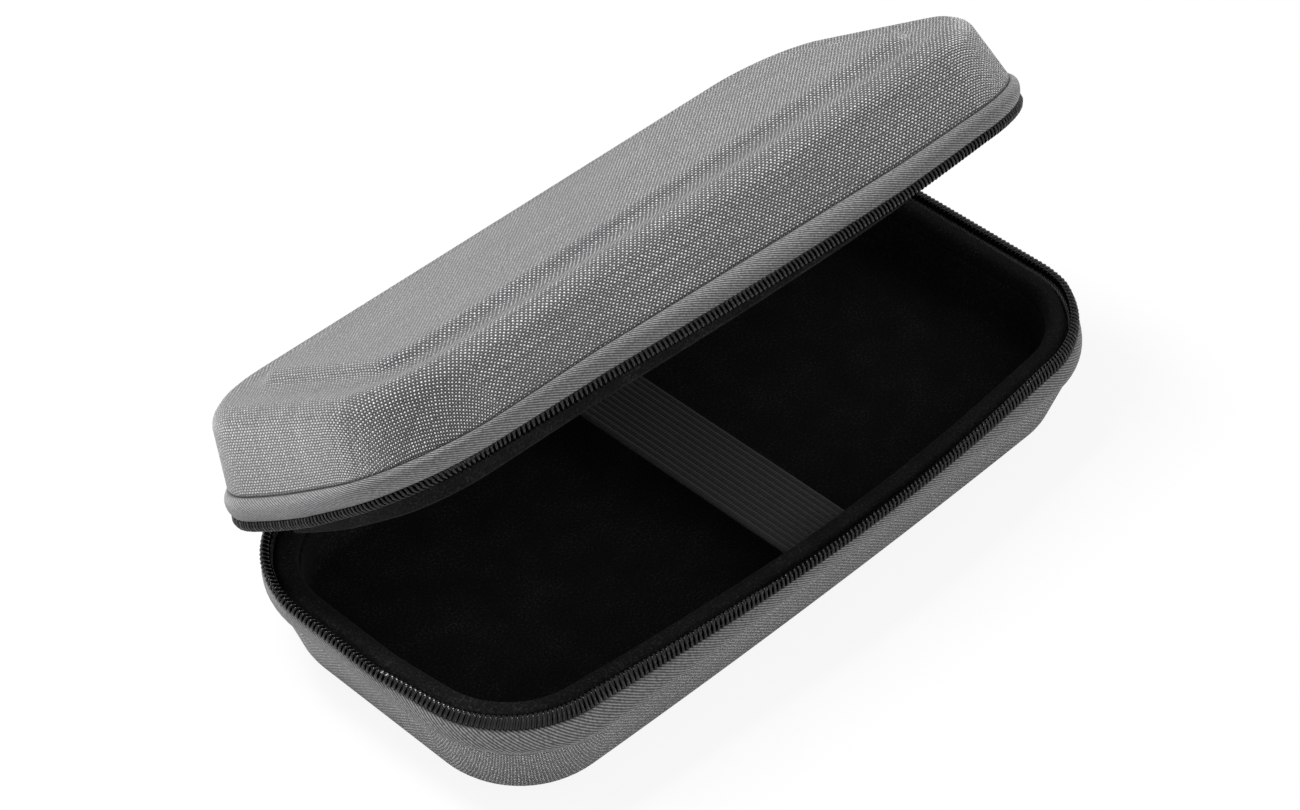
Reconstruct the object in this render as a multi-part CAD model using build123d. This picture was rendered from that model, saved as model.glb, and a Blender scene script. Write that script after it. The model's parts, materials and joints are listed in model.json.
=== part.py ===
from build123d import *
import math
import os

# A zipped clamshell carry case. Two moulded foam shells covered in cloth meet at a zip that runs
# round the front and both ends, and a cloth strip along the back is the hinge.
# Millimetres. Origin at the centre of the flat base, +X along the case, +Y towards the hinge, +Z up.
# Both halves are drawn closed, and the lid is then swung open to the angle it rests at.

# Well in the padded bed, which the case is built round
well_half_length = 121.4
well_half_width = 53.0
well_corner_radius = 27.0
well_depth = 14.5
well_edge_radius = 1.2
well_floor_radius = 3.0

# Padded bed round the well
bed_drop = 7.0
bed_wall = 0.35
bed_corner_relief = 1.0
front_room = 1.6
front_bow = 2.6

# Shells: shared wall and seam, and the tray's draft
rim_height = 35.5
band_height = 10.5
shell_wall = 5.0
seam_round = 1.2
tray_draft_run = 8.0
tray_edge_radius = 8.0

# Lid shell: wall, sloped shoulder, narrow terrace, riser and plateau
lid_wall_height = 20.7
lid_wall_run = 5.3
shoulder_rise = 3.4
shoulder_run = 8.9
terrace_width = 8.7
riser_height = 2.3
riser_run = 3.2
shoulder_radius = 11.0
terrace_radius = 10.0
valley_radius = 4.0
plateau_radius = 6.0
lining_thickness = 1.2

# Upright lip of each shell, which the zip tape is sewn to
lip_inset = 1.2
lip_drop = 4.4
lip_thickness = 4.1
glue_gap = 0.1

# Zip: bulged tape, coil and the teeth that the coil's turns make
tape_bulge = 2.2
tape_foot = 0.3
tape_top_out = 1.7
tape_drop = 3.8
tape_end_drop = 6.5
coil_out = 3.0
coil_root_out = 1.3
coil_in = 1.9
coil_height = 3.4
coil_clearance = 0.2
coil_pitch = 2.6
coil_turn_width = 1.4
zip_end = 72.0
stop_length = 2.8
stop_gap = 0.4

# Rolled binding inside the rim
binding_width = 6.3
binding_crown = 2.0
binding_outer_roll = 1.8
binding_inner_roll = 3.2
binding_room = 0.2

# Soft flap on the lid's binding, which tucks into the tray
flap_gap = 0.3
flap_thickness = 2.4
flap_reach = 4.5
flap_lap = 1.0
flap_root = 1.4

# Elastic strap across the well
strap_width = 25.0
strap_thickness = 1.2
strap_ribs = 12
strap_rib_height = 0.4
strap_tuck = 3.0
strap_gap = 0.2
slit_clearance = 0.25

# Cloth hinge strip and its lining
hinge_drop = 11.5
hinge_out = 1.2
strip_thickness = 1.2
strip_hem = 4.0
strip_bend_radius = 4.0
hinge_lining_gap = 1.0
rest_angle = 35.5

# Mesh pocket in the lid
mesh_thickness = 0.8
pocket_mouth = -22.0
hem_width = 6.0
hem_thickness = 2.0

# Sliders and pulls
slider_length = 13.0
slider_height = 11.0
slider_tail_height = 10.0
slider_corner = 1.8
slider_plate = 1.2
slider_room = 0.35
slider_gap = 1.0
slider_flange = 0.7
post_length = 4.0
post_height = 2.0
bridge_length = 6.4
bridge_height = 3.2
bridge_bar = 1.1
bridge_width = 3.2
pull_bar = 1.4
pull_length = 26.0
pull_width = 7.6
pull_neck = 5.6
pull_thickness = 1.6
pull_room = 0.35
pull_rib = 0.5

seam_height = rim_height - band_height
lid_seam_height = rim_height + band_height
rim_plane = Plane.XY.offset(rim_height)
lip_back = lip_inset + lip_thickness
lip_top = rim_height - lip_drop
tray_slope = tray_draft_run / seam_height
lid_slope = lid_wall_run / lid_wall_height
bed_top = rim_height - bed_drop
bed_inset = shell_wall * math.hypot(1, tray_slope) + glue_gap
bed_floor = shell_wall + glue_gap
well_floor = bed_top - well_depth
well_margin = bed_inset + (seam_height - well_floor) * tray_slope + bed_wall
seam_half_length = well_half_length + well_margin
seam_back = well_half_width + well_margin
seam_front = seam_back + front_room
seam_corner_radius = well_corner_radius + well_margin
back_corner = seam_half_length - seam_corner_radius
strap_top = bed_top - well_edge_radius - strap_gap
hinge_y = seam_back + hinge_out
hinge_z = rim_height - hinge_drop
hinge_axis = Axis((0, hinge_y, hinge_z), (-1, 0, 0))
strip_half_length = zip_end - stop_length - stop_gap
strip_out = strip_thickness / 2 + glue_gap
slider_start = zip_end + slider_gap
slider_middle = slider_start + slider_length / 2
slider_inner = seam_back - coil_in - slider_room
slider_outer = seam_back + coil_out + slider_room
slider_back = slider_outer + slider_plate
pull_axis_y = slider_back + (bridge_height - bridge_bar) / 2


def seam_outline():
    """Plan of the case at the seam: straight back and ends, bowed front, round corners."""
    front_end = front_bow - seam_front
    outline = Line((seam_half_length, seam_back), (-seam_half_length, seam_back))
    outline += Line((-seam_half_length, seam_back), (-seam_half_length, front_end))
    outline += ThreePointArc(
        (-seam_half_length, front_end), (0, -seam_front), (seam_half_length, front_end))
    outline += Line((seam_half_length, front_end), (seam_half_length, seam_back))
    face = make_face(outline)
    return fillet(face.vertices(), seam_corner_radius)


def plan(inset, level=0.0):
    """Seam outline moved inwards and set at a level."""
    face = offset(seam_outline(), amount=-inset) if inset else seam_outline()
    return Pos(0, 0, level) * face


def tapered(inset, level, rise, run):
    """Solid on the plan at one level whose sides lean in by the run over the rise."""
    return extrude(plan(inset, level), rise, taper=math.degrees(math.atan2(run, rise)))


def edges_at(part, level):
    """Edges that lie wholly in one horizontal plane."""
    return part.edges().filter_by(
        lambda e: abs(e.bounding_box().min.Z - level) < 0.02 and abs(e.bounding_box().max.Z - level) < 0.02)


def flat_face_at(part, level):
    """The horizontal face at one level."""
    return part.faces().filter_by(Plane.XY).filter_by(lambda f: abs(f.center().Z - level) < 0.02)[0]


def hollowed(solid, wall, mouth_level):
    """Constant-wall shell of a solid, open at the flat face at the mouth level."""
    return offset(solid, amount=-wall, openings=flat_face_at(solid, mouth_level))


def back_cut(level, height):
    """Block over the straight part of the back edge, where the hinge takes the lip's place."""
    return Pos(0, seam_back, level) * Box(2 * back_corner, 2 * seam_corner_radius, height, align=(
        Align.CENTER, Align.CENTER, Align.MIN))


def rim_path(back_end):
    """Seam line in plan from one end of the zip to the other, round the ends and the front."""
    edges = plan(0.0).edges()
    back_line = edges.sort_by(Axis.Y)[-1]
    path = [e for e in edges if e is not back_line]
    if back_end < back_corner:
        for side in (1, -1):
            path.append(Line((side * back_end, seam_back), (side * back_corner, seam_back)).edge())
    return Wire(path)


def swept_rim(profile, back_end):
    """Sweeps a section, drawn as distance out of the seam line and height, along the rim."""
    path = rim_path(back_end)
    section = Plane(origin=path @ 0, x_dir=(0, 1, 0), z_dir=(1, 0, 0)) * make_face(profile)
    return sweep(section, path)


def lip():
    """Upright edge of a shell above its seam, left out along the hinge."""
    ring = plan(lip_inset, seam_height) - plan(lip_back, seam_height)
    return extrude(ring, lip_top - seam_height) - back_cut(seam_height, band_height)


def zip_tape(end_drop):
    """Bulged tape on the outside of the lip, lower along the back where the zip ends."""
    inner = glue_gap - lip_inset
    foot = seam_height + glue_gap
    top = rim_height - tape_drop
    profile = Line((inner, foot), (tape_foot, foot))
    profile += ThreePointArc((tape_foot, foot), (tape_bulge, (foot + top) / 2), (tape_top_out, top))
    profile += Line((tape_top_out, top), (inner, top))
    profile += Line((inner, top), (inner, foot))
    return swept_rim(profile, zip_end) - back_cut(rim_height - end_drop, band_height)


def zip_coil(back_end):
    """Nylon coil as a strip whose turns stand out of it like teeth, cut square at its ends."""
    path = rim_path(back_end)
    turns = int(path.length / coil_pitch)
    pitch = path.length / turns
    half_turn = coil_turn_width / 2

    def at(distance, out):
        tangent = path.tangent_at(distance, position_mode=PositionMode.LENGTH)
        point = path.position_at(distance, position_mode=PositionMode.LENGTH)
        return point + tangent.cross(Vector(0, 0, 1)) * out

    toothed = [path @ 0 + (path % 0).cross(Vector(0, 0, 1)) * coil_root_out]
    for turn in range(turns):
        middle = (turn + 0.5) * pitch
        toothed += [at(middle - half_turn, coil_root_out), at(middle - half_turn, coil_out)]
        toothed += [at(middle + half_turn, coil_out), at(middle + half_turn, coil_root_out)]
    toothed.append(path @ 1 + (path % 1).cross(Vector(0, 0, 1)) * coil_root_out)
    plain = [at(path.length * step / turns, -coil_in) for step in range(turns, 0, -3)]
    plain.append(path @ 0 - (path % 0).cross(Vector(0, 0, 1)) * coil_in)
    outline = Polyline(*toothed, *plain, close=True)
    return Pos(0, 0, rim_height - coil_clearance - coil_height) * extrude(make_face(outline), coil_height)


def rim_binding():
    """Rolled cloth edge that covers the top of the lip on the inside."""
    outer = coil_in + binding_room
    low = bed_top + glue_gap
    crown = rim_height - binding_crown
    roll = extrude(plan(outer, low) - plan(outer + binding_width, low), crown - low)
    roll -= extrude(plan(0, low) - plan(lip_back + glue_gap, low), lip_top + glue_gap - low)
    roll = fillet(flat_face_at(roll, crown).outer_wire().edges(), binding_outer_roll)
    roll = fillet(flat_face_at(roll, crown).inner_wires()[0].edges(), binding_inner_roll)
    return roll - back_cut(low, band_height)


def lid_flap():
    """Soft flap along the inner edge of the lid's binding, drawn before both are turned over."""
    binding_edge = coil_in + binding_room + binding_width
    inner = binding_edge + flap_gap + flap_thickness
    low = bed_top + glue_gap
    free_edge = rim_height + flap_reach
    flap = extrude(plan(binding_edge + flap_gap, low) - plan(inner, low), free_edge - low)
    flap = fillet(edges_at(flap, free_edge), 0.45 * flap_thickness)
    flap += extrude(plan(binding_edge - flap_lap, low) - plan(inner, low), flap_root)
    behind = Pos(0, seam_back - seam_corner_radius, low) * Box(
        3 * seam_half_length, seam_back, rim_height, align=(Align.CENTER, Align.MIN, Align.MIN))
    return flap - behind


def to_lid(part):
    """Turns a rim piece of the tray over, on to the lid."""
    return mirror(part, about=rim_plane)


def opened(part):
    """Swings a piece of the closed lid to its resting angle."""
    return part.rotate(hinge_axis, rest_angle)


def tray_shell():
    """Drafted basin with a round bottom edge, a rounded seam and an upright lip."""
    upturned = tapered(0, seam_height, seam_height, tray_draft_run)
    drafted = mirror(upturned, about=Plane.XY.offset(seam_height))
    basin = hollowed(fillet(edges_at(drafted, 0), tray_edge_radius), shell_wall, seam_height)
    basin = fillet(flat_face_at(basin, seam_height).outer_wire().edges(), seam_round)
    return basin + lip()


def tray_bed():
    """Foam bed that fills the basin, with a well in its top and a slit for each end of the strap."""
    depth = seam_height - bed_floor
    upturned = tapered(bed_inset, seam_height, depth, depth * tray_slope)
    lower = mirror(upturned, about=Plane.XY.offset(seam_height))
    corner = max(tray_edge_radius - shell_wall, 0) + bed_corner_relief
    bed = fillet(edges_at(lower, bed_floor), corner)
    bed += extrude(plan(bed_inset, seam_height), bed_top - seam_height)
    well = RectangleRounded(2 * well_half_length, 2 * well_half_width, well_corner_radius)
    hollow = extrude(Pos(0, 0, well_floor) * well, well_depth)
    bed -= fillet(edges_at(hollow, well_floor), well_floor_radius)
    bed = fillet(flat_face_at(bed, bed_top).inner_wires()[0].edges(), well_edge_radius)
    slit_length = 2 * (well_half_width + strap_tuck + slit_clearance)
    slit = Box(strap_width + 2 * slit_clearance, slit_length, strap_thickness + 2 * slit_clearance)
    return bed - Pos(0, 0, strap_top - strap_thickness / 2) * slit


def elastic_strap():
    """Flat elastic band with lengthwise ribs, pulled straight across the well."""
    rib = strap_width / strap_ribs
    half = strap_width / 2
    groove_level = strap_top - strap_rib_height
    section = [(half, strap_top - strap_thickness), (-half, strap_top - strap_thickness)]
    for index in range(strap_ribs):
        left = index * rib - half
        section += [(left, groove_level), (left + rib / 4, strap_top), (left + 3 * rib / 4, strap_top)]
    section.append((half, groove_level))
    reach = well_half_width + strap_tuck
    return extrude(Plane.XZ.offset(-reach) * make_face(Polyline(*section, close=True)), 2 * reach)


def lid_form():
    """Outside of the closed lid: wall, rounded shoulder, terrace and a raised plateau."""
    shoulder_level = lid_seam_height + lid_wall_height
    terrace_level = shoulder_level + shoulder_rise
    plateau_level = terrace_level + riser_height
    terrace_inset = lid_wall_run + shoulder_run
    form = tapered(0, lid_seam_height, lid_wall_height, lid_wall_run)
    form += tapered(lid_wall_run, shoulder_level, shoulder_rise, shoulder_run)
    form += tapered(terrace_inset + terrace_width, terrace_level, riser_height, riser_run)
    form = fillet(edges_at(form, shoulder_level), shoulder_radius)
    form = fillet(edges_at(form, plateau_level), plateau_radius)
    form = fillet(flat_face_at(form, terrace_level).outer_wire().edges(), terrace_radius)
    return fillet(flat_face_at(form, terrace_level).inner_wires()[0].edges(), valley_radius)


def lid_shell(form):
    """Constant-wall lid with a rounded seam and a lip that hangs from it."""
    dome = hollowed(form, shell_wall, lid_seam_height)
    dome = fillet(flat_face_at(dome, lid_seam_height).outer_wire().edges(), seam_round)
    return dome + to_lid(lip())


def lid_lining(form):
    """Cloth skin on the inside of the lid, down to the pocket along the lip."""
    cavity = form - hollowed(form, shell_wall, lid_seam_height)
    skin = hollowed(cavity, lining_thickness, lid_seam_height)
    inset = lip_back + glue_gap
    skirt_level = pocket_seat() + mesh_thickness + glue_gap
    ring = plan(inset, skirt_level) - plan(inset + lining_thickness, skirt_level)
    return skin + (extrude(ring, lid_seam_height - skirt_level) - back_cut(rim_height, band_height))


def pocket_seat():
    """Level of the lid binding's upper edge, which the mesh is sewn to."""
    return 2 * rim_height - bed_top


def pocket_mesh():
    """Net panel across the lid, open along a straight mouth at the front."""
    panel = extrude(plan(lip_back + glue_gap + lining_thickness, pocket_seat()), mesh_thickness)
    ahead = Pos(0, pocket_mouth, pocket_seat()) * Box(
        3 * seam_half_length, 2 * seam_front, 3 * mesh_thickness,
        align=(Align.CENTER, Align.MAX, Align.CENTER))
    return panel - ahead


def pocket_hem():
    """Elastic edge along the pocket's mouth, as long as the lining leaves room for."""
    hem = Pos(0, pocket_mouth, pocket_seat()) * Box(
        2 * seam_half_length, hem_width, hem_thickness, align=(Align.CENTER, Align.MAX, Align.MIN))
    hem = fillet(hem.edges().filter_by(Axis.X), hem_thickness / 3)
    return hem & extrude(plan(lip_back + lining_thickness + 2 * glue_gap, pocket_seat()), hem_thickness)


def swung(y, z):
    """A point of the closed lid, in plan depth and height, at the resting angle."""
    turn = math.radians(rest_angle)
    out = y - hinge_y
    up = z - hinge_z
    swung_y = hinge_y + out * math.cos(turn) + up * math.sin(turn)
    swung_z = hinge_z - out * math.sin(turn) + up * math.cos(turn)
    return (0, swung_y, swung_z)


def hinge_strip():
    """Cloth strip sewn to the back of both shells, bent at the hinge line as the lid stands open."""
    tray_wall = seam_back - (seam_height - hinge_z + strip_hem) * tray_slope
    lid_wall = seam_back - strip_hem * lid_slope
    tray_end = (0, tray_wall + strip_out, hinge_z - strip_hem)
    bend = (0, hinge_y, hinge_z)
    lid_bend = swung(seam_back + strip_out, lid_seam_height)
    lid_end = swung(lid_wall + strip_out, lid_seam_height + strip_hem)
    path = FilletPolyline(tray_end, bend, lid_bend, lid_end, radius=strip_bend_radius)
    start = Plane(origin=tray_end, x_dir=(1, 0, 0), z_dir=path % 0)
    return sweep(start * Rectangle(2 * strip_half_length, strip_thickness), path.wire())


def hinge_lining():
    """Cloth skin behind the hinge strip, inside the closed lid."""
    back = seam_back - glue_gap
    level = seam_height + hinge_lining_gap
    height = lid_seam_height - glue_gap - level
    return Pos(0, back, level) * Box(
        2 * strip_half_length, strip_thickness, height, align=(Align.CENTER, Align.MAX, Align.MIN))


def zip_stop():
    """Crimped stop at the end of the lid's coil."""
    width = coil_in + coil_out
    stop = Pos(zip_end, seam_back + coil_out, rim_height + coil_clearance) * Box(
        stop_length, width, coil_height, align=(Align.MAX, Align.MAX, Align.MIN))
    return chamfer(stop.edges().filter_by(Axis.X), coil_height / 8)


def slider_plate_face(inset):
    """Shield outline of a slider plate, wide at the mouths and narrower at the tail."""
    tail = slider_tail_height / 2 - inset
    nose = slider_height / 2 - inset
    end = slider_start + slider_length - inset
    start = slider_start + inset
    outline = Polyline((start, -tail), (end, -nose), (end, nose), (start, tail), close=True)
    return fillet(make_face(outline).vertices(), slider_corner - inset)


def on_back(face, y, thickness):
    """Extrudes a face drawn lengthwise and upwards from the rim line, from one depth outwards."""
    return extrude(Plane((0, y, rim_height), x_dir=(1, 0, 0), z_dir=(0, -1, 0)) * face, -thickness)


def slider():
    """Two plates with turned-in flanges, joined by a post, and a bridge for the pull."""
    body = on_back(slider_plate_face(0), slider_inner - slider_plate, slider_plate)
    body += on_back(slider_plate_face(0), slider_outer, slider_plate)
    flange = slider_plate_face(0) - slider_plate_face(slider_flange)
    flange -= Pos(slider_middle, 0) * Rectangle(2 * slider_length, slider_tail_height - 2 * slider_flange)
    body += on_back(flange, slider_inner, slider_flange)
    body += on_back(flange, slider_outer - slider_flange, slider_flange)
    post = Pos(slider_start + slider_length - post_length / 2, -post_height / 2) * Ellipse(
        post_length / 2, post_height / 2)
    body += on_back(post, slider_inner, slider_outer - slider_inner)
    arch = Rectangle(bridge_length, 2 * bridge_height) - Rectangle(
        bridge_length - 2 * bridge_bar, 2 * (bridge_height - bridge_bar))
    arch = fillet(arch.vertices().group_by(Axis.Y)[-1], bridge_bar)
    arch -= Pos(0, -bridge_height) * Rectangle(2 * bridge_length, 2 * bridge_height)
    arch = Pos(slider_middle, slider_back, rim_height) * arch
    return body + extrude(arch, bridge_width / 2, both=True)


def pull():
    """Tab that hangs from a bar under the slider's bridge, with a window and ribs at its free end."""
    arm = bridge_width / 2 + pull_room
    eye = pull_width / 2
    window_end = bridge_length / 2 + pull_room + pull_bar
    outline = Polyline((0, -eye), (0, eye), (-window_end - pull_bar, eye), (-pull_length / 2, pull_neck / 2),
                       (-pull_length, eye), (-pull_length, -eye), (-pull_length / 2, -pull_neck / 2),
                       (-window_end - pull_bar, -eye), close=True)
    face = fillet(make_face(outline).vertices().group_by(Axis.X)[0], pull_bar)
    face -= Pos(-window_end / 2, 0) * Rectangle(window_end, 2 * arm)
    tab = on_back(Pos(slider_middle, 0) * face, pull_axis_y - pull_thickness / 2, pull_thickness)
    bar = Pos(slider_middle, pull_axis_y, rim_height) * Cylinder(pull_bar / 2, pull_width)
    for step in (1, 2, 3):
        ridge = Rectangle(pull_bar / 2, pull_neck - pull_bar)
        ridge = Pos(slider_middle - pull_length + 2 * step * pull_bar, 0) * ridge
        tab += on_back(ridge, pull_axis_y + pull_thickness / 2, pull_rib)
    return (tab + bar).rotate(Axis((slider_middle, pull_axis_y, rim_height), (0, 0, 1)), -90)


def paired(part, name):
    """The right-hand piece of the opened lid and its mirror image on the left."""
    return {name + "_right": opened(part), name + "_left": opened(mirror(part, about=Plane.YZ))}


form = lid_form()
nodes = {
    "tray_shell": tray_shell(),
    "tray_bed": tray_bed(),
    "tray_rim_binding": rim_binding(),
    "tray_zip_tape": zip_tape(tape_end_drop),
    "tray_zip_coil": zip_coil(back_corner),
    "elastic_strap": elastic_strap(),
    "hinge_strip": hinge_strip(),
    "hinge_lining": opened(hinge_lining()),
    "lid_shell": opened(lid_shell(form)),
    "lid_lining": opened(lid_lining(form)),
    "lid_rim_binding": opened(to_lid(rim_binding() + lid_flap())),
    "lid_zip_tape": opened(to_lid(zip_tape(tape_drop))),
    "lid_zip_coil": opened(to_lid(zip_coil(zip_end))),
    "lid_pocket_mesh": opened(pocket_mesh()),
    "lid_pocket_hem": opened(pocket_hem()),
    **paired(zip_stop(), "zip_stop"),
    **paired(slider(), "zip_slider"),
    **paired(pull(), "zip_pull"),
}

os.makedirs("parts", exist_ok=True)
for name, part in nodes.items():
    export_step(part, f"parts/{name}.step")
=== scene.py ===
import json
import math

import bmesh
import bpy
from mathutils import Matrix, Vector


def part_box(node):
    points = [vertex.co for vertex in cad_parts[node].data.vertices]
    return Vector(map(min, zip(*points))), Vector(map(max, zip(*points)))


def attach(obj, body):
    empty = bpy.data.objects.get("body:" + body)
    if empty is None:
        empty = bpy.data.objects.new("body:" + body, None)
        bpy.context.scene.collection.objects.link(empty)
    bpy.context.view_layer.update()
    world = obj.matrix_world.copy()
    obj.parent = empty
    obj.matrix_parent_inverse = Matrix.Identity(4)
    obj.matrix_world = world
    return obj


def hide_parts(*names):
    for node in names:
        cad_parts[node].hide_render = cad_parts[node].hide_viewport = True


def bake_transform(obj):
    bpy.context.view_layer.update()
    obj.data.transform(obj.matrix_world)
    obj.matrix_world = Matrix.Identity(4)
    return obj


# A zipped clamshell carry case: two cloth-covered foam shells, a coil zip and a padded black inside.
# +X runs along the case, +Y towards the hinge and +Z up. Pieces are shaped closed and in millimetres,
# then the lid's pieces are swung open and everything is turned to metres as its mesh is written.

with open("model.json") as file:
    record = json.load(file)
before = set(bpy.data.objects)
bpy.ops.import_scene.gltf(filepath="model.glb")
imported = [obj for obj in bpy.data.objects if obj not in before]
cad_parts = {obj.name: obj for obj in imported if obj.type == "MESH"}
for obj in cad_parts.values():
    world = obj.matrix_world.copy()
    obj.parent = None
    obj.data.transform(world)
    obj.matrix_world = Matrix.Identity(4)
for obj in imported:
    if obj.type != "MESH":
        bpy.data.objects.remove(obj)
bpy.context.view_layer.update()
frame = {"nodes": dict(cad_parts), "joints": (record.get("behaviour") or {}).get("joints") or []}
mm = 0.001

# Seam line of the case in plan, read from the frame
hinge = next(joint for joint in frame["joints"] if joint["name"] == "lid_hinge")
hinge_at = Vector(hinge["pos_m"]) / mm
rest_angle = math.radians(-hinge["range_deg"][0])
binding_out = 2.1
coil_clearance = 0.2
binding_low, binding_high = (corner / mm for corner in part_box("tray_rim_binding"))
seam_end = binding_high.x + binding_out
seam_back = binding_high.y + binding_out
seam_front = binding_out - binding_low.y
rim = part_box("tray_zip_coil")[1].z / mm + coil_clearance
corner_radius = 36.22
front_bow = 2.6
straight_back = seam_end - corner_radius

# Shells, as distance out of the seam line and distance away from the rim plane
band_height = 10.5
shell_wall = 5.0
seam_round = 1.2
plateau_middle = 34.0
base_middle = 20.0
base_inset = 8.0

# Zip
coil_pitch = 1.65
coil_thread = 0.95
coil_middle_out = 1.0
coil_middle_away = 2.3
coil_half_width = 1.15
coil_half_height = 1.6
coil_points = 8
zip_end = 72.0
slider_gap = 2.0

# Tape and binding on the lip
lip_top = 10.4
tape_in = -1.1
tape_out = 2.4
tape_edge = 3.8
binding_back = -1.2
binding_step = 4.4
binding_crown = 2.0
binding_in = -8.4
binding_root = 6.9
binding_lip = -5.35
tape_end_drop = 6.5

# Well and strap
well_half_width = 53.0
well_corner_radius = 27.0
bed_drop = 7.0
well_floor_away = 21.5
bed_base_away = 30.3
strap_ribs = 12
strap_rib_height = 0.4

# Slack of the open zip: lean at the right and left front corners, and its reach along the front and the end
right_lean = (4.8, 70, 45)
left_lean = (8.2, 100, 75)
front_fall = 1.5
end_fall = 1.7

# Rise of the lid's soft edge towards its left front corner, and how it grows along and across the case
edge_lift = 4.0
lift_length = 120.0
lift_depth = 80.0
lift_back = 20.0
lid_shoulder = 31.0

# Flap on the lid's binding, deeper towards the left end of the front
flap_out = -8.7
flap_thickness = 2.4
flap_reach = 4.4
flap_lean = 1.8

# Lining and pocket of the lid
lining_wall = 1.1
skirt_out = -5.45
skirt_away = 8.0
pocket_away = 7.0
pocket_mouth = -22.0
net_cell = 3.4
net_strand = 0.6
hem_width = 6.0
hem_thickness = 1.9

# Hinge strip
strip_half_length = 68.8
strip_thickness = 1.2
strip_hem = 4.0
strip_bend_radius = 4.0


def rim_course():
    """Stretches of the seam line, clockwise from the middle of the back: a length, and a turn's radius."""
    bow_radius = (seam_end ** 2 + front_bow ** 2) / (2 * front_bow)
    lean = math.asin(straight_back / (bow_radius - corner_radius))
    corner_front = bow_radius - seam_front - (bow_radius - corner_radius) * math.cos(lean)
    half = [(straight_back, 0), (corner_radius * math.pi / 2, corner_radius)]
    half += [(seam_back - corner_radius - corner_front, 0)]
    half += [(corner_radius * (math.pi / 2 - lean), corner_radius), (bow_radius * lean, bow_radius)]
    return half + half[::-1]


def well_course():
    """Stretches of the well's edge, in the same order."""
    corner = (well_corner_radius * math.pi / 2, well_corner_radius)
    end = (2 * (well_half_width - well_corner_radius), 0)
    half = [(straight_back, 0), corner, end, corner, (straight_back, 0)]
    return half + half[::-1]


def carried(course, back, distance):
    """Frame at a distance along a course that starts at the back: x along it, y out of it, z up."""
    place = Matrix.Translation((0, back, rim))
    for length, radius in course:
        step = max(0, min(distance, length))
        if radius:
            to_centre = Matrix.Translation((0, -radius, 0))
            place = place @ to_centre @ Matrix.Rotation(-step / radius, 4, "Z") @ to_centre.inverted()
        else:
            place = place @ Matrix.Translation((step, 0, 0))
        distance -= step
    return place


def stations(course, start, end):
    """Distances along a course at the ends of its stretches and at even steps round its turns."""
    steps_per_radian = 11
    longest_step = 12
    marks = []
    gone = 0
    for length, radius in course:
        steps = math.ceil(max(steps_per_radian * length / radius if radius else 0, length / longest_step))
        marks += [gone + length * step / steps for step in range(steps)]
        gone += length
    near = 0.01
    return [start] + [mark for mark in marks if start + near < mark < end - near] + [end]


def section(points, rounds, side, closed=False):
    """Wire section from points given as out of the seam line and away from the rim, some of them rounded."""
    bm = bmesh.new()
    verts = [bm.verts.new((0, out, side * away)) for out, away in points]
    ahead = verts[1:] + verts[:1] if closed else verts[1:]
    for one, other in zip(verts, ahead):
        bm.edges.new((one, other))
    for index, radius in rounds.items():
        corner = verts[index]
        arms = [edge.other_vert(corner).co - corner.co for edge in corner.link_edges]
        reach = radius / math.tan(arms[0].angle(arms[1]) / 2)
        bmesh.ops.bevel(bm, geom=[corner], offset=reach, segments=6, profile=0.5, affect="VERTICES",
                        material=-1)
    return bm


def inward(points, rounds, wall):
    """A line moved in by a wall, with its rounds changed to match."""
    line = [Vector(point) for point in points]
    inner = []
    for before, point, after in zip([None] + line, line, line[1:] + [None]):
        runs = [(b - a).normalized() for a, b in ((before, point), (point, after)) if a and b]
        sides = [Vector((run.y, -run.x)) for run in runs]
        middle = sum(sides, Vector((0, 0))).normalized()
        inner.append(point + middle * wall / middle.dot(sides[0]))
    inner_rounds = {}
    for index, radius in rounds.items():
        before, point, after = line[index - 1:index + 2]
        outwards = (point - before).cross(after - point) < 0
        inner_rounds[index] = max(radius - wall, 0.6) if outwards else radius + wall
    return [tuple(point) for point in inner], inner_rounds


def walled(points, rounds, wall):
    """A wall's section: the outer line, then its inner line back to the start."""
    inner, inner_rounds = inward(points, rounds, wall)
    last = 2 * len(points) - 1
    back_rounds = {last - index: radius for index, radius in inner_rounds.items()}
    return points + inner[::-1], {**rounds, **back_rounds}


def ironed(bm):
    """Notes for each point of a section how far its cloth reaches out when it is laid flat."""
    flat = bm.verts.layers.float_vector.new("flat")
    vert = next(iter(bm.verts))
    reach = vert.co.y
    seen = []
    while vert:
        vert[flat] = (0, reach, 0)
        seen.append(vert)
        ahead = [edge.other_vert(vert) for edge in vert.link_edges if edge.other_vert(vert) not in seen]
        reach += (ahead[0].co - vert.co).length if ahead else 0
        vert = ahead[0] if ahead else None
    return flat


def corner_lean(mark):
    """How far the slack zip leans in at a distance along the rim: most at the front corners, none midway."""
    corner = sum(length for length, radius in RIM[:4])
    lean = 0
    for peak, most, to_front, to_end in ((corner, *right_lean), (ROUND - corner, *left_lean)):
        ahead = (mark > peak) == (peak < ROUND / 2)
        gone = min(abs(mark - peak) / (to_front if ahead else to_end), 1)
        lean += most * ((1 - gone) ** front_fall if ahead else 1 - gone ** end_fall)
    return lean


def slack(point, mark, side):
    """A point of the rim, in the frame carried along it, once the zip has leaned in from the seam."""
    share = min(max(1 - side * point.z / band_height, 0), 1)
    return Vector((point.x, point.y - corner_lean(mark) * share, point.z))


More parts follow.
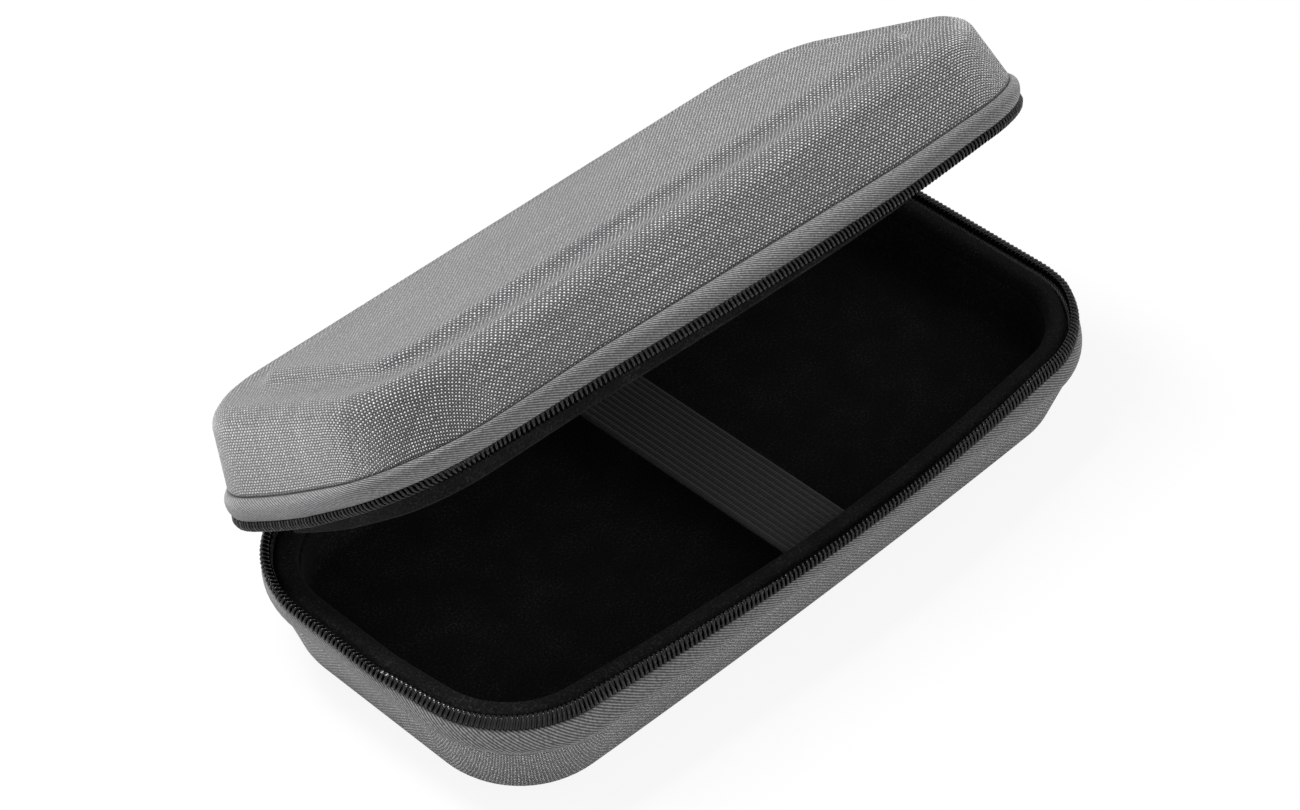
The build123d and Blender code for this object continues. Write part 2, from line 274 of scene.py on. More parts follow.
def swept(bm, course, back, start, end, side=0):
    """Carries a section along a course. Its cloth lies flat in plan, or as a slack strip beside the rim."""
    flat = ironed(bm)
    marks = stations(course, start, end)
    places = [carried(course, back, mark) for mark in marks]
    rings = []
    ring = bm.verts[:]
    edges = bm.edges[:]
    for mark, place, before in zip(marks, places, [None] + places):
        if before:
            made = bmesh.ops.extrude_edge_only(bm, edges=edges)["geom"]
            ring = [item for item in made if isinstance(item, bmesh.types.BMVert)]
            edges = [item for item in made if isinstance(item, bmesh.types.BMEdge)]
        step = place @ before.inverted() if before else place
        bmesh.ops.transform(bm, matrix=step, verts=ring)
        rings.append(ring)
        for vert in ring:
            vert[flat] = (-side * mark, vert[flat].y, 0) if side else step @ vert[flat]
    for ring, place, mark in zip(rings, places, marks):
        for vert in ring if side else []:
            vert.co = place @ slack(place.inverted() @ vert.co, mark, side)
    return bm


def lay_cloth(bm):
    """Writes the flat cloth to the piece's own map, in millimetres."""
    flat = bm.verts.layers.float_vector["flat"]
    cloth = bm.loops.layers.uv.new("cloth")
    for face in bm.faces:
        for loop in face.loops:
            loop[cloth].uv = loop.vert[flat].xy
    return bm


def close_loops(bm):
    """Fills each open loop of a piece with a flat face."""
    bmesh.ops.remove_doubles(bm, verts=bm.verts, dist=0.001)
    bmesh.ops.holes_fill(bm, edges=[edge for edge in bm.edges if edge.is_boundary], sides=0)
    return bm


def add_piece(bm, other):
    """Puts another shape into a piece's mesh."""
    mesh = bpy.data.meshes.new("added")
    other.to_mesh(mesh)
    other.free()
    bm.from_mesh(mesh)
    bpy.data.meshes.remove(mesh)


def open_lid():
    """Turn that swings a piece of the closed lid open."""
    about = Matrix.Translation(hinge_at)
    return about @ Matrix.Rotation(-rest_angle, 4, "X") @ about.inverted()


def raise_edge(bm):
    """Lifts the lid's edge towards its left front corner, fading out up its wall."""
    for vert in bm.verts:
        along = min(max(0.5 - vert.co.x / lift_length, 0), 1)
        ahead = min(max((lift_back - vert.co.y) / lift_depth, 0), 1)
        up = min(max((rim + lid_shoulder - vert.co.z) / (lid_shoulder - band_height), 0), 1)
        vert.co.z += edge_lift * along * ahead * ahead * (3 - 2 * ahead) * up


def finished(bm, name, material, body, slot, *nodes, sharp=35):
    """Makes a shaped piece an object in metres that rides on a body and stands for its nodes."""
    bmesh.ops.recalc_face_normals(bm, faces=bm.faces)
    if body == "lid":
        raise_edge(bm)
        bmesh.ops.transform(bm, matrix=open_lid(), verts=bm.verts)
    bmesh.ops.scale(bm, vec=(mm, mm, mm), verts=bm.verts)
    mesh = bpy.data.meshes.new(name)
    bm.to_mesh(mesh)
    bm.free()
    mesh.shade_smooth()
    mesh.set_sharp_from_angle(angle=math.radians(sharp))
    mesh.materials.append(material)
    piece = bpy.data.objects.new(name, mesh)
    bpy.context.scene.collection.objects.link(piece)
    if body:
        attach(piece, body)
    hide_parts(*nodes)
    return piece


def linear(code):
    """Linear colour of an sRGB hex code."""
    shares = [int(code[index:index + 2], 16) / 255 for index in (0, 2, 4)]
    return [s / 12.92 if s <= 0.04045 else ((s + 0.055) / 1.055) ** 2.4 for s in shares] + [1]


def add(tree, kind, inputs=None, **settings):
    """Adds a node. An input that is a socket is linked, any other is set."""
    made = tree.nodes.new("ShaderNode" + kind)
    for name, value in settings.items():
        setattr(made, name, value)
    for name, value in (inputs or {}).items():
        if isinstance(value, bpy.types.NodeSocket):
            tree.links.new(value, made.inputs[name])
        else:
            made.inputs[name].default_value = value
    return made


def start_material(name, **shader):
    """New material with its shader's plain values, its tree and its shader."""
    material = bpy.data.materials.new(name)
    material.use_nodes = True
    tree = material.node_tree
    surface = tree.nodes["Principled BSDF"]
    for socket, value in shader.items():
        surface.inputs[socket.replace("_", " ")].default_value = value
    return material, tree, surface


def ramp_of(tree, factor, stops):
    """Colour ramp through the given stops of place and hex code."""
    ramp = add(tree, "ValToRGB", {"Fac": factor})
    elements = ramp.color_ramp.elements
    while len(elements) < len(stops):
        elements.new(0.5)
    for element, (place, code) in zip(elements, stops):
        element.position = place
        element.color = linear(code)
    return ramp.outputs["Color"]


def woven_polyester():
    """Heather polyester in a plain weave: thread tops of two greys with a painted highlight, painted shade in
    the gaps, rows that differ a little.
    """
    thread = 0.8
    material, tree, surface = start_material(
        "woven_polyester", Roughness=0.45, Sheen_Weight=0.65, Sheen_Roughness=0.35)
    cloth = add(tree, "UVMap", uv_map="cloth").outputs["UV"]
    wander = add(tree, "TexNoise", {"Vector": cloth, "Scale": 0.35, "Detail": 2.0}).outputs["Color"]
    moved = add(tree, "VectorMath", {0: wander, 1: (0.5, 0.5, 0.5)}, operation="SUBTRACT").outputs[0]
    drift = (0.5, 0.5, 0)
    bent = add(tree, "VectorMath", {0: moved, 1: drift, 2: cloth}, operation="MULTIPLY_ADD").outputs[0]
    turns = add(tree, "VectorMath", {0: bent, "Scale": math.pi / thread}, operation="SCALE").outputs[0]
    waves = add(tree, "VectorMath", {0: turns}, operation="SINE").outputs[0]
    axes = add(tree, "SeparateXYZ", {0: waves})
    crossing = add(tree, "Math", {0: axes.outputs[0], 1: axes.outputs[1]}, operation="MULTIPLY").outputs[0]
    rows = add(tree, "VectorMath", {0: bent, 1: (0.02, 1 / thread, 0)}, operation="MULTIPLY").outputs[0]
    slub = add(tree, "TexNoise", {"Vector": rows, "Scale": 1.0, "Detail": 3.0}).outputs["Fac"]
    speck = add(tree, "TexNoise", {"Vector": cloth, "Scale": 0.9, "Detail": 1.0}).outputs["Fac"]
    uneven = add(tree, "Math", {0: slub, 1: speck}, operation="ADD").outputs[0]
    spread = add(tree, "MapRange", {"Value": uneven, 1: 0.6, 2: 1.4, 3: -0.22, 4: 0.22}).outputs[0]
    height = add(tree, "MapRange", {"Value": crossing, 1: -1.0, 2: 1.0}).outputs[0]
    painted_light_and_tone = add(tree, "Math", {0: height, 1: spread}, operation="ADD").outputs[0]
    # Ramp over the weave's height plus a random spread: the dark middle is painted shade in the gaps between
    # threads, the light end a painted highlight on the thread tops; the spread is the cloth's own uneven tone.
    stops = [(0.0, "565657"), (0.28, "343435"), (0.5, "050506"), (0.68, "525253"), (1.0, "f2f2f3")]
    tree.links.new(ramp_of(tree, painted_light_and_tone, stops), surface.inputs["Base Color"])
    crown = add(tree, "Math", {0: crossing}, operation="ABSOLUTE").outputs[0]
    bump = add(tree, "Bump", {"Height": crown, "Strength": 0.9, "Distance": 0.3 * mm})
    tree.links.new(bump.outputs[0], surface.inputs["Normal"])
    return material


def twill_tape():
    """Herringbone zip tape: ribs slant away from a spine that runs along the band's seam."""
    rib = 1.6
    rib_slant = -2.07
    spine = 15.9
    material, tree, surface = start_material("twill_tape", Roughness=0.6, Sheen_Weight=0.3)
    cloth = add(tree, "UVMap", uv_map="cloth").outputs["UV"]
    axes = add(tree, "SeparateXYZ", {0: cloth})
    across = add(tree, "Math", {0: axes.outputs[1], 1: spine}, operation="SUBTRACT").outputs[0]
    away = add(tree, "Math", {0: across}, operation="ABSOLUTE").outputs[0]
    along = axes.outputs[0]
    slant = add(tree, "Math", {0: away, 1: rib_slant, 2: along}, operation="MULTIPLY_ADD").outputs[0]
    turns = add(tree, "Math", {0: slant, 1: 2 * math.pi / rib}, operation="MULTIPLY").outputs[0]
    ribs = add(tree, "Math", {0: turns}, operation="SINE").outputs[0]
    fuzz = add(tree, "TexNoise", {"Vector": cloth, "Scale": 1.2, "Detail": 3.0}).outputs["Fac"]
    # Colour follows the ribs' height: lighter crests and darker grooves are painted light and shade, and the
    # fuzz is the tape's own uneven tone.
    mixed = add(tree, "Math", {0: ribs, 1: 0.32, 2: fuzz}, operation="MULTIPLY_ADD").outputs[0]
    stops = [(0.15, "2a2a2b"), (0.5, "545455"), (0.85, "9a9a9b")]
    tree.links.new(ramp_of(tree, mixed, stops), surface.inputs["Base Color"])
    bump = add(tree, "Bump", {"Height": ribs, "Strength": 0.5, "Distance": 0.2 * mm})
    tree.links.new(bump.outputs[0], surface.inputs["Normal"])
    return material


def drawn_nylon():
    """Black nylon monofilament: smooth and glossy, with a faint draw along it."""
    material, tree, surface = start_material("drawn_nylon", Base_Color=linear("060607"), IOR=1.4)
    place = add(tree, "TexCoord").outputs["Object"]
    streaks = add(tree, "TexNoise", {"Vector": place, "Scale": 0.4 / mm, "Detail": 2.0}).outputs["Fac"]
    gloss = add(tree, "MapRange", {"Value": streaks, 3: 0.14, 4: 0.26}).outputs[0]
    tree.links.new(gloss, surface.inputs["Roughness"])
    return material


def black_velour():
    """Short black pile: matt, with a soft edge light and a faint speck of brushed fibres."""
    pile = 0.7
    material, tree, surface = start_material(
        "black_velour", Roughness=0.95, Sheen_Weight=0.35, Sheen_Roughness=0.4, Sheen_Tint=linear("4a4a50"))
    surface.inputs["Specular IOR Level"].default_value = 0.1
    place = add(tree, "TexCoord").outputs["Object"]
    fibres = add(tree, "TexNoise", {"Vector": place, "Scale": 1 / (pile * mm), "Detail": 3.0}).outputs["Fac"]
    brushed = add(tree, "TexNoise", {"Vector": place, "Scale": 1 / (12 * mm), "Detail": 2.0}).outputs["Fac"]
    mixed = add(tree, "Math", {0: brushed, 1: 0.35, 2: fibres}, operation="MULTIPLY_ADD").outputs[0]
    stops = [(0.45, "0e0e0f"), (0.75, "1e1e1f"), (0.95, "38383a")]
    tree.links.new(ramp_of(tree, mixed, stops), surface.inputs["Base Color"])
    bump = add(tree, "Bump", {"Height": fibres, "Strength": 0.5, "Distance": 0.3 * mm})
    tree.links.new(bump.outputs[0], surface.inputs["Normal"])
    return material


def knitted_elastic():
    """Black ribbed elastic: short threads cross the ribs."""
    thread = 0.9
    material, tree, surface = start_material("knitted_elastic", Roughness=0.75, Sheen_Weight=0.2)
    place = add(tree, "TexCoord").outputs["Object"]
    axes = add(tree, "SeparateXYZ", {0: place})
    rate = 2 * math.pi / (thread * mm)
    turns = add(tree, "Math", {0: axes.outputs[1], 1: rate}, operation="MULTIPLY").outputs[0]
    threads = add(tree, "Math", {0: turns}, operation="SINE").outputs[0]
    fuzz = add(tree, "TexNoise", {"Vector": place, "Scale": 1 / mm, "Detail": 2.0}).outputs["Fac"]
    # Colour follows the threads' height: lighter crests and darker hollows are painted light and shade, and
    # the fuzz is the elastic's own uneven tone.
    mixed = add(tree, "Math", {0: threads, 1: 0.2, 2: fuzz}, operation="MULTIPLY_ADD").outputs[0]
    stops = [(0.2, "0b0b0c"), (0.55, "1a1a1b"), (0.9, "303032")]
    tree.links.new(ramp_of(tree, mixed, stops), surface.inputs["Base Color"])
    bump = add(tree, "Bump", {"Height": threads, "Strength": 0.4, "Distance": 0.15 * mm})
    tree.links.new(bump.outputs[0], surface.inputs["Normal"])
    return material


def knitted_net():
    """Black knitted net thread: fibres along the strands catch a little light."""
    material, tree, surface = start_material("knitted_net", Roughness=0.7, Sheen_Weight=0.2)
    place = add(tree, "TexCoord").outputs["Object"]
    fibres = add(tree, "TexNoise", {"Vector": place, "Scale": 2 / mm, "Detail": 2.0}).outputs["Fac"]
    tree.links.new(ramp_of(tree, fibres, [(0.3, "0c0c0d"), (0.8, "2b2b2d")]), surface.inputs["Base Color"])
    return material


def enamelled_zinc():
    """Die-cast zinc under black enamel: smooth, with a faint orange peel."""
    material, tree, surface = start_material("enamelled_zinc", Base_Color=linear("161617"), Coat_Weight=0.4)
    place = add(tree, "TexCoord").outputs["Object"]
    peel = add(tree, "TexNoise", {"Vector": place, "Scale": 1.2 / mm, "Detail": 2.0}).outputs["Fac"]
    gloss = add(tree, "MapRange", {"Value": peel, 3: 0.28, 4: 0.42}).outputs[0]
    tree.links.new(gloss, surface.inputs["Roughness"])
    bump = add(tree, "Bump", {"Height": peel, "Strength": 0.15, "Distance": 0.1 * mm})
    tree.links.new(bump.outputs[0], surface.inputs["Normal"])
    return material


def moulded_rubber():
    """Matt dark grey moulded rubber with a fine spark-eroded grain."""
    material, tree, surface = start_material("moulded_rubber", Roughness=0.6)
    place = add(tree, "TexCoord").outputs["Object"]
    grain = add(tree, "TexNoise", {"Vector": place, "Scale": 3 / mm, "Detail": 3.0}).outputs["Fac"]
    tree.links.new(ramp_of(tree, grain, [(0.3, "1d1d1e"), (0.7, "2c2c2e")]), surface.inputs["Base Color"])
    bump = add(tree, "Bump", {"Height": grain, "Strength": 0.3, "Distance": 0.08 * mm})
    tree.links.new(bump.outputs[0], surface.inputs["Normal"])
    return material


RIM = rim_course()
ROUND = sum(length for length, radius in RIM)
COVER = woven_polyester()
TAPE = twill_tape()
NYLON = drawn_nylon()
VELOUR = black_velour()
ELASTIC = knitted_elastic()
NET = knitted_net()
ENAMEL = enamelled_zinc()
RUBBER = moulded_rubber()

lid_line = [(-plateau_middle, 36.9), (-26.1, 36.9), (-22.9, 34.1), (-17.5, 33.4), (-10.0, 34.2), (-4.7, 30.9),
            (0, band_height)]
lid_rounds = {1: 5, 2: 4, 3: 8, 4: 5, 5: 6}
tray_line = [(-base_middle, rim), (-base_inset, rim), (0, band_height)]
tray_rounds = {1: 8}


def shell(line, rounds, side, name, body, node):
    """Cloth-covered foam shell: a wall swept round the seam line and closed across its middle."""
    points, all_rounds = walled(line, rounds, shell_wall - 0.1)
    seam = len(line) - 1
    all_rounds[seam] = seam_round
    bm = swept(section(points, all_rounds, side), RIM, seam_back, 0, ROUND)
    return finished(lay_cloth(close_loops(bm)), name, COVER, body, "cover_cloth", node)


def zip_tape(side, name, body, node):
    """Bulged band of tape round the lip, lower where it runs out along the back."""
    points = [(tape_in, lip_top), (0.4, lip_top), (tape_out, 8.6), (tape_out, 5.4), (1.7, tape_edge),
              (tape_in, tape_edge)]
    bm = section(points, {1: 0.4, 2: 3.0, 3: 4.0, 4: 0.5}, side, closed=True)
    swept(bm, RIM, seam_back, zip_end, ROUND - zip_end, side)
    if body == "tray":
        ends = [face for face in bm.faces if abs(face.calc_center_median().x) < straight_back and
                face.calc_center_median().y > 0]
        parts = list({item for face in ends for item in [face, *face.edges, *face.verts]})
        bmesh.ops.bisect_plane(bm, geom=parts, plane_co=(0, 0, rim - tape_end_drop), plane_no=(0, 0, 1),
                               clear_outer=True)
    return finished(close_loops(lay_cloth(bm)), name, TAPE, body, "tape_cloth", node)


def zip_coil(side, start, name, body, node):
    """Nylon coil: one thread wound along the tape's edge, over a cord."""
    run = ROUND - 2 * start
    turns = round(run / coil_pitch)
    curve = bpy.data.curves.new(name, "CURVE")
    curve.dimensions = "3D"
    curve.bevel_depth = coil_thread / 2
    curve.bevel_resolution = 1
    spline = curve.splines.new("POLY")
    spline.points.add(turns * coil_points)
    for index, point in enumerate(spline.points):
        turn = 2 * math.pi * index / coil_points
        out = coil_middle_out + coil_half_width * math.cos(turn)
        away = coil_middle_away + coil_half_height * math.sin(turn)
        mark = start + run * index / (turns * coil_points)
        leaned = slack(Vector((0, out, side * away)), mark, side)
        point.co = (*(carried(RIM, seam_back, mark) @ leaned), 1)
    wound = bpy.data.objects.new(name, curve)
    bpy.context.scene.collection.objects.link(wound)
    cord = [(0.1, 3.7), (0.1, 0.9), (1.5, 0.9), (1.5, 3.7)]
    bm = section(cord, {}, side, closed=True)
    close_loops(swept(bm, RIM, seam_back, start, ROUND - start, side))
    bm.from_mesh(bpy.data.meshes.new_from_object(wound.evaluated_get(bpy.context.evaluated_depsgraph_get())))
    bpy.data.objects.remove(wound)
    return finished(bm, name, NYLON, body, "zip_nylon", node, sharp=80)


def velour_flap():
    """Soft flap round the lid's front and ends, which tucks into the tray."""
    overlap = -7.6
    inner = flap_out - flap_thickness
    points = [(overlap, binding_root), (flap_out, binding_root), (flap_out, -flap_reach), (inner, -flap_reach),
              (inner, binding_root)]
    bm = section(points, {2: 1.1, 3: 1.1}, 1, closed=True)
    end = straight_back + corner_radius * math.pi / 2
    swept(bm, RIM, seam_back, end, ROUND - end, 1)
    for vert in bm.verts:
        if vert.co.z < rim:
            vert.co.z -= flap_lean * min(max(-vert.co.x / straight_back, -1), 1)
    return close_loops(bm)


def rim_binding(side, name, body, node):
    """Rolled velour edge over the lip, open along the hinge, with a flap on the lid."""
    points = [(binding_back, lip_top), (binding_back, binding_step), (-binding_out, binding_step),
              (-binding_out, binding_crown), (binding_in, binding_crown), (binding_in, binding_root),
              (binding_lip, binding_root), (binding_lip, lip_top)]
    bm = section(points, {3: 1.8, 4: 3.2, 5: 0.6}, side, closed=True)
    close_loops(swept(bm, RIM, seam_back, straight_back, ROUND - straight_back, side))
    if body == "lid":
        add_piece(bm, velour_flap())
    return finished(bm, name, VELOUR, body, "velour", node)


def padded_bed():
    """Foam bed with a soft-edged well, covered in velour."""
    course = well_course()
    middle = -20
    points = [(middle, well_floor_away), (0, well_floor_away), (0, bed_drop), (3.6, bed_drop), (3.6, 10.6),
              (-2.7, bed_base_away), (middle, bed_base_away)]
    bm = section(points, {1: 3.0, 2: 1.2, 5: 4.0}, -1)
    swept(bm, course, well_half_width, 0, sum(length for length, radius in course))
    return finished(close_loops(bm), "padded_bed", VELOUR, "tray", "velour", "tray_bed")


def elastic_strap():
    """Flat elastic band with lengthwise ribs, pulled straight across the well."""
    low, high = (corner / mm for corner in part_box("elastic_strap"))
    width = high.x - low.x
    rib = width / strap_ribs
    bm = bmesh.new()
    bmesh.ops.create_grid(bm, x_segments=4 * strap_ribs, y_segments=24, size=0.5)
    bmesh.ops.scale(bm, vec=(width, high.y - low.y, 1), verts=bm.verts)
    for vert in bm.verts:
        ridge = abs(math.sin(math.pi * (vert.co.x - low.x) / rib))
        vert.co.z = high.z - strap_rib_height * (1 - ridge)
    made = bmesh.ops.extrude_face_region(bm, geom=bm.faces[:])["geom"]
    for vert in (item for item in made if isinstance(item, bmesh.types.BMVert)):
        vert.co.z = low.z
    strap = finished(bm, "ribbed_strap", ELASTIC, "tray", "elastic", "elastic_strap")
    return strap


def hinge_strip():
    """Cloth strip over the back, sewn to both shells and bent along the hinge line."""
    swing = open_lid()
    tray_slope = base_inset / (rim - band_height)
    lid_slope = 5.3 / 20.7
    out = seam_back + strip_thickness / 2 + 0.1
    tray_drop = rim - band_height - hinge_at.z + strip_hem
    tray_end = Vector((0, out - tray_drop * tray_slope, hinge_at.z - strip_hem))
    lid_bend = swing @ Vector((0, out, rim + band_height))
    lid_end = swing @ Vector((0, out - strip_hem * lid_slope, rim + band_height + strip_hem))
    points = [(point.y, point.z) for point in (tray_end, hinge_at, lid_bend, lid_end)]
    bm = section(points, {1: strip_bend_radius, 2: strip_bend_radius}, 1)
    bmesh.ops.subdivide_edges(bm, edges=[edge for edge in bm.edges if edge.calc_length() > 3], cuts=5)
    flat = ironed(bm)
    edges = bm.edges[:]
    bmesh.ops.translate(bm, vec=(-strip_half_length, 0, 0), verts=bm.verts)
    steps = 24
    for step in range(steps):
        made = bmesh.ops.extrude_edge_only(bm, edges=edges)["geom"]
        ring = [item for item in made if isinstance(item, bmesh.types.BMVert)]
        edges = [item for item in made if isinstance(item, bmesh.types.BMEdge)]
        bmesh.ops.translate(bm, vec=(2 * strip_half_length / steps, 0, 0), verts=ring)
        for vert in ring:
            vert[flat] = (vert.co.x, vert[flat].y, 0)
    lay_cloth(bm)
    bmesh.ops.recalc_face_normals(bm, faces=bm.faces)
    bmesh.ops.solidify(bm, geom=bm.faces[:], thickness=strip_thickness)
    strip = finished(bm, "hinge_cloth", TAPE, None, "tape_cloth", "hinge_strip")
    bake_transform(strip)
    return strip


def lid_lining():
    """Cloth skin inside the lid's dome, with a skirt down the lip."""
    line, rounds = inward(lid_line, lid_rounds, shell_wall + 0.05)
    points, all_rounds = walled(line, rounds, lining_wall)
    bm = close_loops(swept(section(points, all_rounds, 1), RIM, seam_back, 0, ROUND))
    inner = skirt_out - lining_wall
    skirt_top = line[-1][1] + 2
    corners = [(skirt_out, skirt_away), (inner, skirt_away), (inner, skirt_top), (skirt_out, skirt_top)]
    skirt = section(corners, {}, 1, closed=True)
    add_piece(bm, close_loops(swept(skirt, RIM, seam_back, straight_back, ROUND - straight_back)))
    return finished(bm, "lining", VELOUR, "lid", "velour", "lid_lining")


def pocket_net():
    """Diamond net across the lid, open along a straight mouth."""
    bm = bmesh.new()
    cells = math.ceil(2 * seam_end / net_cell)
    turned = Matrix.Rotation(math.radians(45), 4, "Z")
    bmesh.ops.create_grid(bm, x_segments=cells, y_segments=cells, size=seam_end * 1.05, matrix=turned)
    edge = skirt_out - lining_wall
    cuts = [(place @ Vector((0, edge, 0)), place.col[1].to_3d()) for place in
            (carried(RIM, seam_back, mark) for mark in stations(RIM, 0, ROUND))]
    for point, out in cuts + [(Vector((0, pocket_mouth, 0)), Vector((0, -1, 0)))]:
        whole = bm.verts[:] + bm.edges[:] + bm.faces[:]
        bmesh.ops.bisect_plane(bm, geom=whole, plane_co=(point.x, point.y, 0), plane_no=out, clear_outer=True)
    bmesh.ops.translate(bm, vec=(0, 0, rim + pocket_away + net_strand / 2), verts=bm.verts)
    bmesh.ops.wireframe(bm, faces=bm.faces[:], thickness=net_strand, use_replace=True, use_boundary=True,
                        use_even_offset=True)
    net = finished(bm, "pocket_net", NET, "lid", "mesh", "lid_pocket_mesh")
    return net


def pocket_hem():
    """Gathered elastic edge along the pocket's mouth."""
    gather = 5.0
    half = seam_end + skirt_out - lining_wall - 0.1
    low = rim + pocket_away
    inner = pocket_mouth - hem_width
    high = low + hem_thickness
    points = [(pocket_mouth, low), (inner, low), (inner, high), (pocket_mouth, high)]
    bm = section(points, {0: 0.6, 1: 0.6, 2: 0.6, 3: 0.6}, 1, closed=True)
    bmesh.ops.translate(bm, vec=(-half, 0, 0), verts=bm.verts)
    steps = round(2 * half / gather) * 4
    edges = bm.edges[:]
    for step in range(steps):
        made = bmesh.ops.extrude_edge_only(bm, edges=edges)["geom"]
        ring = [item for item in made if isinstance(item, bmesh.types.BMVert)]
        edges = [item for item in made if isinstance(item, bmesh.types.BMEdge)]
        bmesh.ops.translate(bm, vec=(2 * half / steps, 0, 0), verts=ring)
    for vert in bm.verts:
        vert.co.z += (vert.co.z - low) * 0.16 * math.sin(2 * math.pi * vert.co.x / gather)
    return finished(close_loops(bm), "pocket_hem", ELASTIC, "lid", "elastic", "lid_pocket_hem")


def hinge_backing():
    """Cloth skin behind the hinge strip, with a little slack in it."""
    sag = 0.5
    low = rim - band_height + 1.0
    high = rim + band_height - 0.1
    bm = bmesh.new()
    upright = Matrix.Rotation(math.radians(90), 4, "X")
    bmesh.ops.create_grid(bm, x_segments=28, y_segments=8, size=0.5, matrix=upright)
    bmesh.ops.scale(bm, vec=(2 * strip_half_length, 1, high - low), verts=bm.verts)
    bmesh.ops.translate(bm, vec=(0, seam_back - 0.7, (low + high) / 2), verts=bm.verts)
    for vert in bm.verts:
        across = (vert.co.z - low) / (high - low)
        vert.co.y -= sag * math.sin(math.pi * across) * (1 + math.sin(vert.co.x / 7))
    bmesh.ops.solidify(bm, geom=bm.faces[:], thickness=1.0)
    backing = finished(bm, "hinge_backing", VELOUR, "lid", "velour", "hinge_lining")
    return backing


def softened(node, material, body, slot, edge):
    """A hard piece with its edges rounded over."""
    solid = frame["nodes"][node]
    bm = bmesh.new()
    bm.from_mesh(solid.data)
    bmesh.ops.transform(bm, matrix=Matrix.Scale(1 / mm, 4) @ solid.matrix_world, verts=bm.verts)
    if body == "lid":
        bmesh.ops.transform(bm, matrix=open_lid().inverted(), verts=bm.verts)
    bmesh.ops.remove_doubles(bm, verts=bm.verts, dist=0.01)
    bmesh.ops.dissolve_limit(bm, angle_limit=math.radians(2), verts=bm.verts, edges=bm.edges)
    crisp = math.radians(40)
    sharp = [line for line in bm.edges if len(line.link_faces) == 2 and line.calc_face_angle() > crisp]
    bmesh.ops.bevel(bm, geom=sharp, offset=edge, segments=2, profile=0.5, affect="EDGES", material=-1,
                    clamp_overlap=True)
    return finished(bm, node + "_finished", material, body, slot, node)


shell(lid_line, lid_rounds, 1, "lid_cover", "lid", "lid_shell")
shell(tray_line, tray_rounds, -1, "tray_cover", "tray", "tray_shell")
zip_tape(1, "lid_tape", "lid", "lid_zip_tape")
zip_tape(-1, "tray_tape", "tray", "tray_zip_tape")
zip_coil(1, zip_end, "lid_coil", "lid", "lid_zip_coil")
zip_coil(-1, straight_back + slider_gap, "tray_coil", "tray", "tray_zip_coil")
rim_binding(1, "lid_binding", "lid", "lid_rim_binding")
rim_binding(-1, "tray_binding", "tray", "tray_rim_binding")
padded_bed()
elastic_strap()
hinge_strip()
lid_lining()
pocket_net()
pocket_hem()
hinge_backing()
for hand in ("right", "left"):
    softened("zip_slider_" + hand, ENAMEL, "slider_" + hand, "slider_metal", 0.2)
    softened("zip_pull_" + hand, RUBBER, "pull_" + hand, "pull_rubber", 0.25)
    softened("zip_stop_" + hand, NYLON, "lid", "zip_nylon", 0.3)


def white_background(tree, plain, shown):
    """Share of rays that see the plain white background: those of the camera, of gloss and of glass."""
    path = add(tree, "LightPath").outputs
    seen = add(tree, "Math", {0: path["Is Camera Ray"], 1: path["Is Glossy Ray"]}, operation="MAXIMUM")
    seen = add(tree, "Math", {0: seen.outputs[0], 1: path["Is Transmission Ray"]}, operation="MAXIMUM")
    return add(tree, "Mix", {"Factor": seen.outputs[0], "A": plain, "B": shown}).outputs[0]


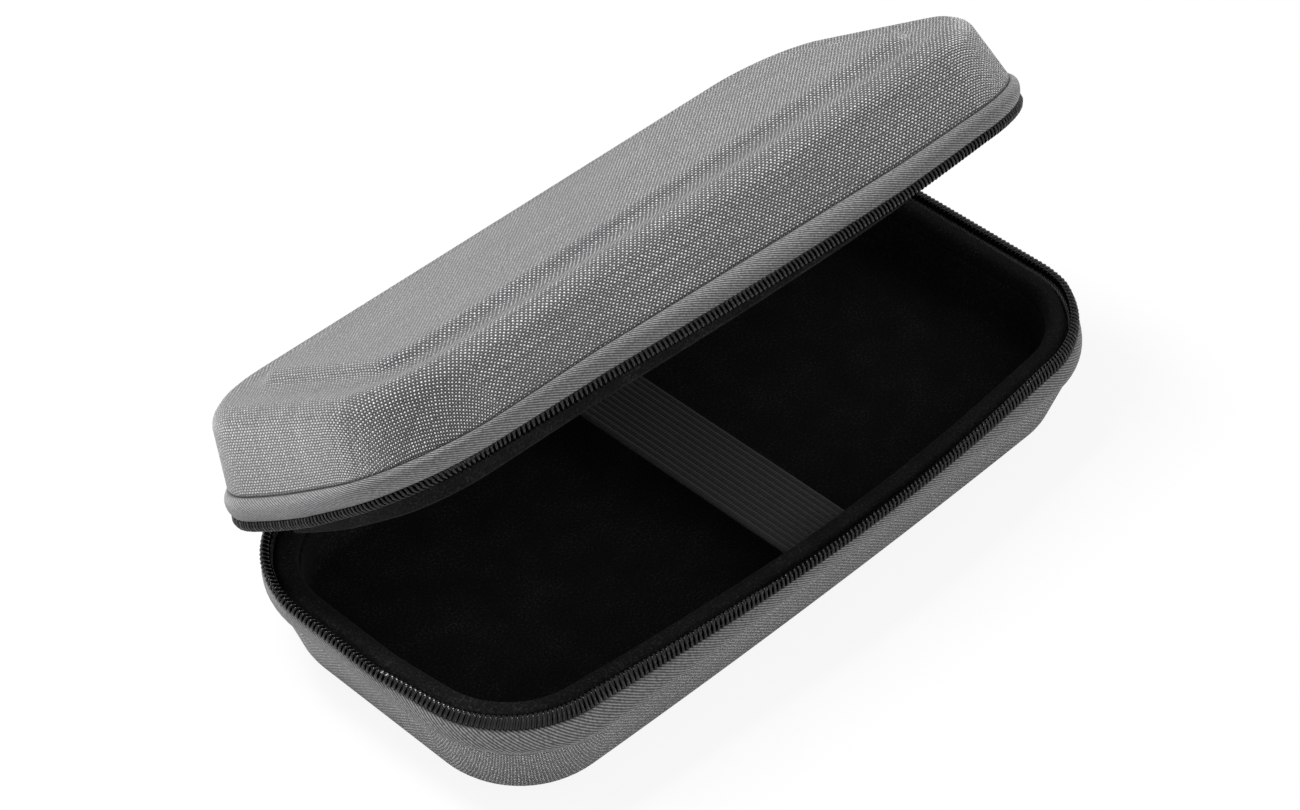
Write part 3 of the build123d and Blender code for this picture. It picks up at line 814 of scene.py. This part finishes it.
def stage():
    """White floor that keeps a faint shadow, and a white surround."""
    bm = bmesh.new()
    bmesh.ops.create_grid(bm, x_segments=1, y_segments=1, size=4.0)
    mesh = bpy.data.meshes.new("floor")
    bm.to_mesh(mesh)
    bm.free()
    floor = bpy.data.objects.new("floor", mesh)
    bpy.context.scene.collection.objects.link(floor)
    material, tree, surface = start_material("white_floor", Base_Color=linear("ebebeb"), Roughness=0.9)
    path = add(tree, "LightPath")
    white = add(tree, "Emission", {"Color": linear("ffffff"), "Strength": 1.0})
    share = add(tree, "Math", {0: path.outputs["Is Camera Ray"], 1: 0.9}, operation="MULTIPLY")
    mixed = add(tree, "MixShader", {0: share.outputs[0], 1: surface.outputs[0], 2: white.outputs[0]})
    tree.links.new(mixed.outputs[0], tree.nodes["Material Output"].inputs["Surface"])
    mesh.materials.append(material)

    world = bpy.data.worlds.new("studio")
    bpy.context.scene.world = world
    world.use_nodes = True
    tree = world.node_tree
    ambient = 0.38
    strength = white_background(tree, ambient, 1.0)
    tree.nodes["Background"].inputs["Color"].default_value = linear("ffffff")
    tree.links.new(strength, tree.nodes["Background"].inputs["Strength"])


def lamp(name, place, aim, size, power):
    """Square soft light at a place, pointed at the case."""
    light = bpy.data.lights.new(name, "AREA")
    light.size = size
    light.energy = power
    made = bpy.data.objects.new(name, light)
    made.location = place
    made.rotation_euler = (Vector(aim) - Vector(place)).to_track_quat("-Z", "Y").to_euler()
    bpy.context.scene.collection.objects.link(made)


# Camera, matched to the photograph
image_width = 1300
focal_pixels = 3482.1
view_azimuth = math.radians(-45.40)
view_elevation = math.radians(42.55)
view_distance = 1037.9
shift_right = 11.13
shift_down = 5.66


def camera():
    """Camera at the photograph's angle."""
    toward = Vector((math.sin(view_azimuth) * math.cos(view_elevation),
                     -math.cos(view_azimuth) * math.cos(view_elevation), math.sin(view_elevation)))
    right = (-toward).cross(Vector((0, 0, 1))).normalized()
    down = (-toward).cross(right)
    lens = bpy.data.cameras.new("camera")
    lens.sensor_width = 36
    lens.lens = lens.sensor_width * focal_pixels / image_width
    lens.clip_start = 0.01
    made = bpy.data.objects.new("camera", lens)
    middle = Vector((0, 0, rim))
    made.location = (middle + toward * view_distance - right * shift_right - down * shift_down) * mm
    made.rotation_euler = (-toward).to_track_quat("-Z", "Y").to_euler()
    bpy.context.scene.collection.objects.link(made)
    bpy.context.scene.camera = made


stage()
lamp("key", (-0.25, 0.55, 1.3), (0, 0, 0.05), 0.4, 22)
lamp("fill", (0.5, -1.3, 0.6), (0, 0, 0.04), 0.5, 2.5)
camera()
bpy.context.scene.view_settings.view_transform = "Standard"
